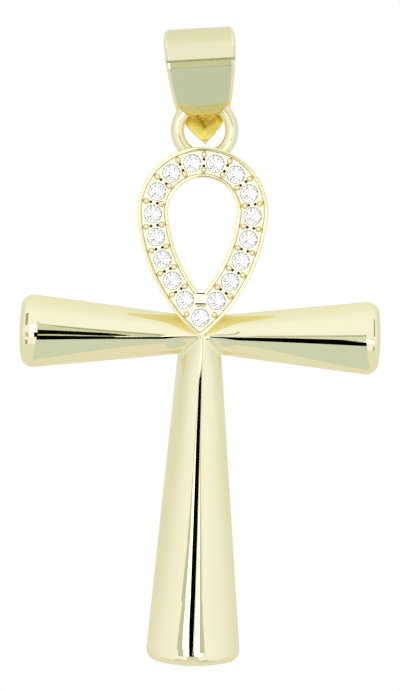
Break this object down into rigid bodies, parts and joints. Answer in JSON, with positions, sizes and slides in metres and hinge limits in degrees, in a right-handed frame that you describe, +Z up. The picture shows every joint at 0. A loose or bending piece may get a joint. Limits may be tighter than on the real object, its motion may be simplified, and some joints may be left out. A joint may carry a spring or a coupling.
{
  "type": "ankh pendant",
  "caption": "Polished yellow gold ankh pendant with a stone-set teardrop loop, flared arms and stem, hanging by a ring in a folded tapered bail.",
  "frame": {"origin": "inside top of the bail, where the chain carries the pendant", "axes": "+Z up, -Y towards the viewer of the set front, +X along the arms to the viewer's right"},
  "size_m": [0.0217, 0.0038, 0.0385],
  "materials": {
    "gold_body": "polished pale yellow gold",
    "gold_bail": "polished pale yellow gold sheet",
    "clear_stone": "cut and polished colourless stone"
  },
  "bodies": {
    "bail": {"bail": "gold_bail"},
    "ankh": {"ankh_body": "gold_body", "stone_01": "clear_stone", "stone_02": "clear_stone", "stone_03": "clear_stone", "stone_04": "clear_stone", "stone_05": "clear_stone", "stone_06": "clear_stone", "stone_07": "clear_stone", "stone_08": "clear_stone", "stone_09": "clear_stone", "stone_10": "clear_stone", "stone_11": "clear_stone", "stone_12": "clear_stone", "stone_13": "clear_stone", "stone_14": "clear_stone", "stone_15": "clear_stone", "stone_16": "clear_stone", "stone_17": "clear_stone"}
  },
  "joints": [
    {"name": "ankh_swing", "type": "hinge", "parent": "bail", "child": "ankh", "pos_m": [0.00033, 0, -0.00419], "axis": [1, 0, 0], "range_deg": [-20, 20]}
  ]
}
